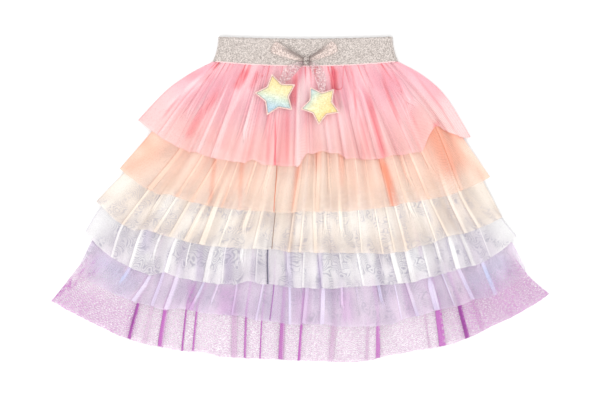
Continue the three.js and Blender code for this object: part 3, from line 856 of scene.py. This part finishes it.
def band_sheet():
    """The waistband: a flattened loop of elastic with puckers where the tulle is gathered into it."""
    flat_steps, end_steps, tall = 150, 10, 17
    around = 2 * (flat_steps + end_steps)
    inset = ELASTIC_WALL / 2
    radius = BAND["thickness"] / 2 - inset
    points = []
    for r in range(tall):
        up = r / (tall - 1)
        reach = lerp(BAND["top_half"], BAND["bottom_half"], (1 - up) ** 2) - inset - radius
        for s in range(around + 1):
            half = flat_steps + end_steps
            n = s % half if s < around else 0
            side = 1 if s % around < half else -1
            along = 1 - 2 * n / flat_steps if n <= flat_steps else -1
            angle = math.pi / 2 + math.pi * max(0, n - flat_steps) / end_steps
            pucker = 0.22 * (1 - up) ** 2 * math.sin(s * 1.9 + math.sin(s * 0.7))
            ripple = 0.10 * math.sin(s * 0.31) * up
            size = radius + pucker + ripple
            x = BAND["centre"] + side * (reach * along + size * math.cos(angle))
            y = lerp(band_edge(x, "bottom"), band_edge(x, "top"), up)
            y += 0.25 * math.sin(s * 0.83) * up**4 - 0.2 * (1 - up) ** 4 * math.sin(s * 1.9)
            points.append(metres(x, y, max(inset + 0.01, radius + inset + side * size * math.sin(angle))))
    piece = sheet_piece("waistband_elastic", around + 1, points)
    edit_all(piece, merge_doubles)
    middle = piece.data.polygons[len(piece.data.polygons) // 4]
    if (middle.normal.z > 0) != (middle.center.z * 1000 > radius):
        edit_all(piece, bpy.ops.mesh.flip_normals)
    select_only(piece)
    solidify = piece.modifiers.new("wall", "SOLIDIFY")
    solidify.thickness = ELASTIC_WALL / 1000
    solidify.offset = 0
    bpy.ops.object.modifier_apply(modifier="wall")
    return finish_piece(piece, ELASTIC, "glitter_elastic", "waistband")


def stitch_row(name, places, size, material, slot):
    """A row of stitches. Each place has a middle, a direction and an up, and size the half sizes in mm."""
    bpy.ops.object.select_all(action="DESELECT")
    bpy.ops.mesh.primitive_uv_sphere_add(segments=8, ring_count=5, radius=1)
    pattern = bpy.context.object
    pattern.scale = [value / 1000 for value in size]
    bpy.ops.object.transform_apply(location=False, rotation=False, scale=True)
    copies = []
    for middle, direction, up in places:
        along = direction.normalized()
        across = up.cross(along).normalized()
        turn = Matrix((along, across, along.cross(across))).transposed().to_4x4()
        copy = pattern.copy()
        copy.data = pattern.data.copy()
        copy.data.transform(Matrix.Translation(middle) @ turn)
        bpy.context.collection.objects.link(copy)
        copies.append(copy)
    bpy.data.objects.remove(pattern)
    select_only(*copies)
    bpy.ops.object.join()
    row = bpy.context.object
    row.name = row.data.name = name
    finish_piece(row, material, slot)


def height_finder(*pieces):
    """A function that gives the highest point of the pieces at a place of the plan, in mm."""
    trees = []
    for piece in pieces:
        corners = [vertex.co.copy() for vertex in piece.data.vertices]
        trees.append(BVHTree.FromPolygons(corners, [face.vertices[:] for face in piece.data.polygons]))

    def height(x, y):
        start = metres(x, y, 100)
        hits = [tree.ray_cast(start, Vector((0, 0, -1)))[0] for tree in trees]
        return max([hit.z * 1000 for hit in hits if hit], default=0)

    return height


band = band_sheet()
declare_sheet(band, 0.402, 0.030, sides=2)
SEAM = {"stitches": 106, "half": 98, "lean": 0.35, "upper": 4.9, "lower": 0.5}
seam = []
for side, z in ((1, SEAM["upper"]), (-1, SEAM["lower"])):
    for n in range(SEAM["stitches"]):
        x = BAND["centre"] + (n / (SEAM["stitches"] - 1) * 2 - 1) * SEAM["half"]
        lean = Vector((1.0, SEAM["lean"] if n % 2 else -SEAM["lean"], 0))
        seam.append((metres(x, band_edge(x, "bottom") + 0.1, z), lean, Vector((0, 0, side))))
stitch_row("waist_seam", seam, (1.5, 0.7, 0.45), SEAM_THREAD, "pink_tulle")


def waist_tuck():
    """A tuck of the pink tulle that lies over the gathers, beside the right tail of the bow."""
    on = height_finder(bpy.data.objects["pink_front_sheet"], band)
    across, down = 17, 24
    points, plies, tones = [], [], []
    for side, v in grid(across, down):
        half = 5.2 * (1 - 0.12 * v)
        round_end = 3.5 * (1 - math.sqrt(max(0, 1 - 0.96 * side * side))) * smooth(0.5, 1, v)
        x = picture_x(339.3 - 0.8 * v) + half * side
        y = (PICTURE_MIDDLE[1] - lerp(66.2, 90, v)) * PIXEL + round_end
        rise = 0.45 + 1.1 * (1 - side * side) * math.sin(math.pi * min(1, 0.15 + v)) * (1 - 0.4 * v)
        points.append(metres(x, y, on(x, y) + rise))
        edge = smooth(0.75, 1, abs(side))
        plies.append(0.6 * edge + 0.3 * smooth(0.93, 1, v))
        # Painted shade: the tuck's left half, its side edges and its lower edge are drawn darker.
        painted_inner_shade = 1.2 * smooth(0.3, -0.8, side) * smooth(0, 0.3, v)
        tones.append((1.3 if side < 0 else 1.2) * edge + 1.8 * smooth(0.92, 1, v) + painted_inner_shade)
    # It bridges the gathers under it.
    for _ in range(3):
        heights = [point.z for point in points]
        for n in range(across, len(points) - across):
            points[n].z = max(points[n].z, (heights[n - across] + heights[n + across]) / 2)
    piece = sheet_piece("waist_tuck", across, points)
    face_up(piece)
    length = length_along(points, across, across // 2)
    even_layout(piece, across, 0.00068, length / down)
    own_values(piece, ply=plies, tone=tones, body=[0.75] * len(points), down=[0.0] * len(points))
    finish_piece(piece, TULLE["pink"], "pink_tulle")
    declare_sheet(piece, 0.0118, length)


waist_tuck()

# The bow. The width of its ribbon is in metres.
RIBBON_WIDE = 0.0132
KNOT = {"x": 7, "y": 152.2, "wide": 7.4, "high": 10.2, "deep": 5.2}
LOOP = {"clear": 4, "knot_half": 2.2, "outer_half": 6.6, "knot_rise": 1.1, "rise": 2.3}


def bow_loop(name, angle, length, bend, fold):
    """A loop of ribbon, gathered at the knot: its two plies part towards a soft round end, creases run out
    of the knot, and a band of painted shade runs out of it as far across as fold says."""
    turns, across = 56, 15
    out = polar(angle, 1)
    middle = LOOP["clear"] + length / 2
    floor_z = BAND["thickness"] + LOOP["rise"] + 2 * GAP
    points, painted_crease_shades = [], []
    for place, v in grid(across, turns + 1):
        side, turn = -place, 2 * math.pi * v
        outward = (1 + math.cos(turn)) / 2
        rise = lerp(LOOP["knot_rise"], LOOP["rise"], outward**0.5)
        half = lerp(LOOP["knot_half"], LOOP["outer_half"], outward**0.8)
        along = middle + length / 2 * math.cos(turn) - 2.4 * side * side * outward**2
        sideways = side * half + bend * math.sin(math.pi * outward)
        crease = 0.75 * (1 - outward) ** 1.2 * math.cos(side * math.pi * 3)
        x = KNOT["x"] + out.x * along - out.y * sideways
        y = KNOT["y"] + out.y * along + out.x * sideways
        top = math.sin(turn)
        # Painted shade: darker along the fold side of the upper ply near the knot, and all round close to
        # the knot.
        dark = (1 - smooth(0.2, 0.7, abs(side - fold))) * (1 - smooth(0.4, 0.95, outward))
        dark += 0.6 * (1 - smooth(0, 0.25, outward))
        painted_crease_shades.append(min(1, dark * (1 if top > 0 else 0.3)))
        points.append(metres(x, y, floor_z + (rise + crease * 0.5) * top + 0.35 * crease))
    piece = sheet_piece(f"{name}_ribbon", across, points)
    length_flat = length_along(points, across, 0)
    even_layout(piece, across, 0.001, length_flat / turns)
    own_values(piece, crease=painted_crease_shades)
    edit_all(piece, merge_doubles, bpy.ops.mesh.normals_make_consistent)
    finish_piece(piece, LIT_LOOP_RIBBON, "glitter_ribbon", name)
    declare_sheet(piece, length_flat, RIBBON_WIDE)


bow_loop("bow_loop_left", 157, 37, 0.8, -0.7)
bow_loop("bow_loop_right", 27, 33, -0.8, 0.8)


def bow_knot():
    """The knot: a short wrap of ribbon in soft creases that run round it."""
    knot_low, knot_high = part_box("bow_knot")
    centre = (Vector(knot_low) + Vector(knot_high)) / 2
    bpy.ops.object.select_all(action="DESELECT")
    bpy.ops.mesh.primitive_uv_sphere_add(segments=48, ring_count=32, radius=1)
    knot = bpy.context.object
    knot.name = knot.data.name = "bow_knot_wrap"
    size = Vector((KNOT["wide"], KNOT["high"], KNOT["deep"])) / 2000
    for vertex in knot.data.vertices:
        x, y, z = vertex.co
        square = 1 / max(1e-6, (abs(x) ** 2.6 + abs(y) ** 2.6 + abs(z) ** 2.6) ** (1 / 2.6))
        waist = 1 - 0.22 * (1 - abs(y)) ** 2
        crease = 1 - 0.1 * (0.5 + 0.5 * math.cos(9 * x + 2.5 * y)) ** 3 * (1 if z > 0 else 0.4)
        place = Vector((x * square * waist, y * square, z * square)) * crease
        vertex.co = centre + Vector((place.x * size.x, place.y * size.y, place.z * size.z))
    knot.data.update()
    finish_piece(knot, SHADED_KNOT_RIBBON, "glitter_ribbon", "bow_knot")


bow_knot()


def cubic(a, b, c, d, t):
    s = 1 - t
    return a * s**3 + b * 3 * s * s * t + c * 3 * s * t * t + d * t**3


# tip: the angle of a star's first tip. light: the direction, as an angle, in which its cloth runs from
# blue to yellow. shift: how much nearer to yellow all of it is.
STAR_VALLEY = 0.575
STARS = {
    "star_left": {"x": -26.1, "y": 113.9, "radius": 24.4, "tip": 101.4, "light": 76, "shift": 0.02},
    "star_right": {"x": 22.6, "y": 103.7, "radius": 22.9, "tip": 120.9, "light": -38, "shift": 0.2},
}
# A tail leaves the knot at its angle and arrives at the valley of its star. reach and arrive say how
# straight it runs there, and wide is its width from the knot to the star.
TAILS = {
    "tail_left": {"angle": 203, "reach": 15, "valley": 65.4, "arrive": 14, "wide": (4.5, 11, 12, 6.5),
                  "star": "star_left"},
    "tail_right": {"angle": 330, "reach": 9, "valley": 84.9, "arrive": 22, "wide": (4.5, 10, 12, 6.5),
                   "star": "star_right"},
}
# The rows of points that a tail's solid has, and the points in each.
TAIL_ROWS, TAIL_ACROSS = 9, 5


def bow_tail(name):
    """A tail of the ribbon, from beneath the knot to beneath its star's rim."""
    tail = TAILS[name]
    star = STARS[tail["star"]]
    start = polar(tail["angle"], 2.4) + Vector((KNOT["x"], KNOT["y"] - 1))
    end = polar(tail["valley"], star["radius"] * STAR_VALLEY - 0.4) + Vector((star["x"], star["y"]))
    out, back = polar(tail["angle"], tail["reach"]) + start, polar(tail["valley"], tail["arrive"]) + end
    route = (start, out, back, end)

    def place(t, side):
        middle = cubic(*route, t)
        run = (cubic(*route, min(1, t + 0.01)) - cubic(*route, max(0, t - 0.01))).normalized()
        across = side * curve_through([(w,) for w in tail["wide"]], 3 * t)[0] / 2
        return middle.x - run.y * across, middle.y + run.x * across

    places = [place(t, side) for side, t in grid(TAIL_ACROSS, TAIL_ROWS)]
    starts = range(0, len(places), TAIL_ACROSS)
    rows = nearest_heights(name, [places[n:n + TAIL_ACROSS] for n in starts])
    down, wide = 60, 17
    points = []
    for side, t in grid(wide, down):
        x, y, z = curve_through(row_at(rows, t), (side + 1) / 2 * (TAIL_ACROSS - 1))
        pinch = (1 - smooth(0, 0.4, t)) * 0.3 * math.cos(side * 9)
        curl = 0.35 * math.sin(math.pi * t) * abs(side) ** 3
        points.append(metres(x, y, z + pinch + curl))
    piece = sheet_piece(f"{name}_ribbon", wide, points)
    face_up(piece)
    length = length_along(points, wide, wide // 2)
    even_layout(piece, wide, 0.00075, length / down)
    # Painted shade where the tail leaves the knot.
    own_values(piece, crease=[0.7 * (1 - smooth(0, 0.2, m // wide / down)) for m in range(len(points))])
    finish_piece(piece, RIBBON, "glitter_ribbon", name)
    declare_sheet(piece, RIBBON_WIDE, length)


bow_tail("tail_left")
bow_tail("tail_right")


def star_finish():
    """Glitter cloth that runs from yellow through mint to pale blue, with a paler sewn border, painted
    shade in the groove at its seam, and painted glints.
    """
    finish = Finish("star_cloth", Roughness=0.55)
    along = finish.attribute("along")
    rim = finish.attribute("rim")
    groove = finish.attribute("groove")
    place = finish.place()
    red, _, _ = finish.parts(finish.cells(place, 950.0))
    fine = finish.noise(place, 1400.0, 2.0)
    flakes_and_glints = (red * 0.5 + fine * 0.5 - 0.5) * 0.95
    where = along + (fine - 0.5) * 0.08
    tint = finish.layers(
        colour(168, 196, 210),
        (where.steps(0.2, 0.5), colour(202, 216, 196)),
        (where.steps(0.4, 0.66), colour(236, 222, 166)),
        (where.steps(0.6, 1.0), colour(238, 208, 136)),
        (rim, colour(234, 200, 188)),
        # Painted shade in the groove along the seam.
        (groove * 0.7, colour(160, 130, 128)),
        # Painted glints: the flakes drawn white, and dark where they catch no light.
        (flakes_and_glints.math("MAXIMUM", 0.0), (1.0, 1.0, 1.0)),
        ((0 - flakes_and_glints).math("MAXIMUM", 0.0), colour(108, 116, 116)),
    )
    return finish.surface(Base_Color=tint, Roughness=0.65 - red * 0.35,
                          Normal=finish.bump(red, 0.3, 0.0002))


STAR_CLOTH = star_finish()
# Shares of the star's outline: the rings of points on each face, the seam, and how soft its points are.
STAR_RINGS = (1, 0.995, 0.975, 0.945, 0.915, 0.9, 0.88, 0.86, 0.83, 0.78, 0.72, 0.65, 0.57, 0.48, 0.38,
              0.27, 0.14)
STAR_SEAM = 0.88
STAR_SOFT = 0.1
# The distance from one stitch to the next.
STITCH_STEP = 2.1


def star_outline(star):
    """The outline of a star with soft points, anticlockwise from its first tip."""
    radii = [star["radius"], star["radius"] * STAR_VALLEY] * 5
    corners = [polar(star["tip"] + 36 * n, radius) for n, radius in enumerate(radii)]
    outline = []
    for n, corner in enumerate(corners):
        before, after = corners[n - 1], corners[(n + 1) % 10]
        a, b = corner.lerp(before, STAR_SOFT), corner.lerp(after, STAR_SOFT)
        outline += [a.lerp(corner, t).lerp(corner.lerp(b, t), t) for t in (0, 0.2, 0.4, 0.6, 0.8)]
        far = after.lerp(corner, STAR_SOFT)
        outline += [b.lerp(far, k / 8) for k in range(8)]
    return outline


def star_pad(name):
    """A star of two plies, sewn inside its edge and filled with wadding."""
    star = STARS[name]
    low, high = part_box(name)
    middle = (low[2] + high[2]) / 2 * 1000
    deep = (high[2] - low[2]) / 2 * 1000
    outline = star_outline(star)
    seam = [p * STAR_SEAM for p in outline]
    runs = [b - a for a, b in zip(seam, seam[1:] + seam[:1])]
    count = len(outline)

    def from_seam(point):
        found = []
        for a, run in zip(seam, runs):
            t = clamp((point - a).dot(run) / max(run.length_squared, 1e-9))
            found.append((point - a - run * t).length)
        return min(found)

    widest = from_seam(Vector((0, 0)))

    def swell(share, point, n):
        if share >= STAR_SEAM:
            edge = (share - STAR_SEAM) / (1 - STAR_SEAM)
            return 0.28 + 0.5 * math.sin(math.pi * min(1, edge * 1.02)) ** 0.7
        near = min(1, from_seam(point) / widest)
        dome = math.sqrt(max(0, 1 - (1 - near) ** 2.2))
        pucker = 0.16 * math.sin(n * 1.45) * math.exp(-from_seam(point) / 1.6)
        return 0.28 + (deep - 0.35) * dome * (0.75 + 0.25 * near) + pucker

    vertices, rims, alongs, grooves = [], [], [], []
    light = polar(star["light"], 1)

    def add(point, height, share):
        vertices.append(metres(star["x"] + point.x, star["y"] + point.y, middle + height))
        rims.append(smooth(STAR_SEAM, STAR_SEAM + 0.03, share))
        grooves.append(1 - smooth(0.005, 0.03, abs(share - STAR_SEAM - 0.005)))
        alongs.append(0.5 + 0.5 * (point.x * light.x + point.y * light.y) / star["radius"] + star["shift"])

    for face in (1, -1):
        for share in STAR_RINGS[1:] if face == -1 else STAR_RINGS:
            for n, p in enumerate(outline):
                add(p * share, face * swell(share, p * share, n) if share < 1 else 0, share)
        add(Vector((0, 0)), face * deep * 0.98, 0)
    # Both faces share the outer ring, and each ends in a point at its middle.
    top = len(STAR_RINGS) * count
    bottom = len(vertices) - 1
    upper = list(range(0, top, count))
    lower = [0, *range(top + 1, bottom, count)]
    faces = []
    for rings, point, turn in ((upper, top, 1), (lower, bottom, -1)):
        for n in range(count):
            m = (n + 1) % count
            faces += [(a + n, a + m, b + m, b + n)[::turn] for a, b in zip(rings, rings[1:])]
            faces.append((rings[-1] + n, rings[-1] + m, point)[::turn])
    mesh = bpy.data.meshes.new(f"{name}_pad")
    mesh.from_pydata(vertices, [], faces)
    piece = bpy.data.objects.new(f"{name}_pad", mesh)
    bpy.context.collection.objects.link(piece)
    own_values(piece, rim=rims, along=alongs, groove=grooves)
    finish_piece(piece, STAR_CLOTH, "star_cloth", name)
    stitches = []
    length = sum(run.length for run in runs)
    spots = int(length / STITCH_STEP)
    n, done = 0, 0
    for k in range(spots):
        target = k * length / spots
        while done + runs[n].length < target:
            done += runs[n].length
            n += 1
        spot = seam[n] + runs[n] * ((target - done) / max(runs[n].length, 1e-9))
        for face in (1, -1):
            place = metres(star["x"] + spot.x, star["y"] + spot.y, middle + face * 0.34)
            stitches.append((place, runs[n].to_3d(), Vector((0, 0, face))))
    stitch_row(f"{name}_stitches", stitches, (0.85, 0.32, 0.24), STAR_THREAD, "star_cloth")


star_pad("star_left")
star_pad("star_right")

# The camera looks straight down, as in the picture, and sees true sizes at FOCUS_HEIGHT.
CAMERA_HEIGHT, FOCUS_HEIGHT, SENSOR = 3000, 10, 36
camera_y = (PICTURE_MIDDLE[1] - PICTURE_SIZE[1] / 2) * PIXEL
bpy.ops.object.camera_add(location=metres(0, camera_y, CAMERA_HEIGHT))
camera = bpy.context.object
camera.data.sensor_width = SENSOR
camera.data.lens = SENSOR * (CAMERA_HEIGHT - FOCUS_HEIGHT) / (PICTURE_SIZE[0] * PIXEL)
bpy.context.scene.camera = camera

# A plain pale floor and soft studio light.
bpy.ops.mesh.primitive_plane_add(size=6, location=(0, 0, -0.0002))
floor = bpy.context.object
floor.name = "floor"
paper = Finish("white_paper", Roughness=0.9)
spots = paper.noise(paper.place(), 3.0)
floor.data.materials.append(paper.surface(Base_Color=paper.mix(spots, (0.9, 0.9, 0.9), (0.92, 0.92, 0.92))))

# Soft square lamps that point at the middle of the skirt.
LAMPS = (
    ("key", (-0.9, -1.1, 1.9), 0.9, 16),
    ("fill", (1.3, 0.5, 2.0), 1.6, 7),
    ("top", (0, 0, 2.4), 1.4, 8.5),
)
for name, place, size, power in LAMPS:
    bpy.ops.object.light_add(type="AREA", location=place)
    lamp = bpy.context.object
    lamp.name = name
    lamp.data.size = size
    lamp.data.energy = power
    lamp.rotation_euler = (-Vector(place)).to_track_quat("-Z", "Y").to_euler()
world = bpy.data.worlds.new("studio")
world.use_nodes = True
world.node_tree.nodes["Background"].inputs[0].default_value = (1, 1, 1, 1)
world.node_tree.nodes["Background"].inputs[1].default_value = 0.92
bpy.context.scene.world = world
bpy.context.scene.cycles.transparent_max_bounces = 64
bpy.context.scene.view_settings.view_transform = "Standard"
